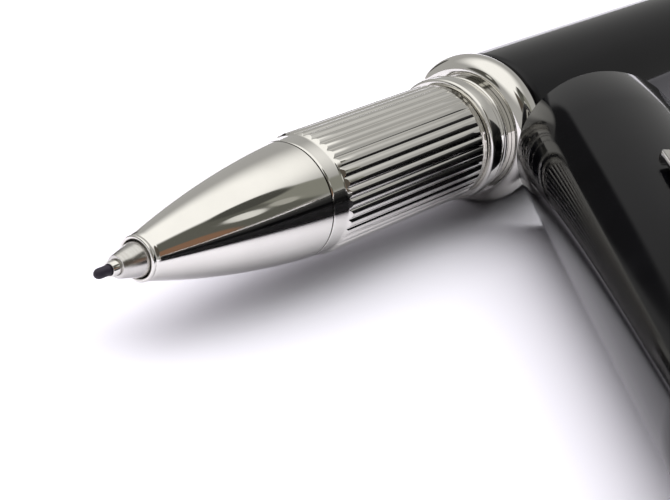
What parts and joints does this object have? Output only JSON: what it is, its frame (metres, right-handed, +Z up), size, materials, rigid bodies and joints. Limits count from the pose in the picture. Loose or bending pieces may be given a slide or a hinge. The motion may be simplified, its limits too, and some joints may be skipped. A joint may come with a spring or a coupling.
{
  "type": "fineliner pen",
  "caption": "Uncapped fineliner pen with a polished nose, ribbed metal grip, black barrel and refill, lying beside its black cap with a sprung clip.",
  "frame": {"origin": "on the pen's axis, in the middle of the bead that the cap fits over", "axes": "+X along the pen from the writing tip to the tail, +Z up from the table that the pen and its cap lie on, which is 6.95 mm below the origin"},
  "size_m": [0.1283, 0.0668, 0.0166],
  "materials": {
    "black_resin": "polished",
    "plated_metal": "polished",
    "brass": "turned",
    "steel": "turned",
    "white_plastic": "moulded",
    "dark_plastic": "moulded",
    "fibre": "inked fibre",
    "ink_felt": "inked fibre"
  },
  "bodies": {
    "barrel": {"barrel_tube": "black_resin", "barrel_ring": "plated_metal", "barrel_bush": "plated_metal", "tail_ring": "plated_metal", "tail_plug": "black_resin", "spring_seat": "white_plastic", "refill_spring": "steel"},
    "refill": {"fibre_tip": "fibre", "tip_ferrule": "plated_metal", "refill_nose": "steel", "refill_holder": "white_plastic", "refill_tube": "steel", "ink_reservoir": "ink_felt", "refill_plug": "white_plastic"},
    "section": {"nose_cone": "plated_metal", "grip_sleeve": "plated_metal", "section_core": "brass", "grip_washer": "dark_plastic", "collar_ring": "plated_metal", "snap_ring": "plated_metal"},
    "cap": {"cap_shell": "black_resin", "snap_sleeve": "plated_metal", "inner_cap": "dark_plastic", "clip_ring": "plated_metal", "clip_pin": "steel", "clip_spring": "steel", "cap_crown": "black_resin", "crown_screw": "brass"},
    "clip": {"clip": "plated_metal"}
  },
  "joints": [
    {"name": "refill_advance", "type": "slide", "parent": "barrel", "child": "refill", "axis": [-1, 0, 0], "range_m": [0, 0.005], "deforming": ["refill_spring"]},
    {"name": "section_turn", "type": "hinge", "parent": "refill", "child": "section", "pos_m": [0, 0, 0], "axis": [-1, 0, 0], "range_deg": [0, 1800]},
    {"name": "cap_away", "type": "slide", "parent": "barrel", "child": "cap", "axis": [-0.7009, -0.7133, 0], "range_m": [0, 0.06]},
    {"name": "clip_open", "type": "hinge", "parent": "cap", "child": "clip", "pos_m": [-0.03017, -0.04996, 0.00705], "axis": [0.7133, -0.7009, 0], "range_deg": [0, 6], "stiffness_Nm_per_rad": 0.5, "deforming": ["clip_spring"]}
  ],
  "couplings": [
    {"joint": "section_turn", "follows": "refill_advance", "rad_per_m": 6283.2}
  ]
}
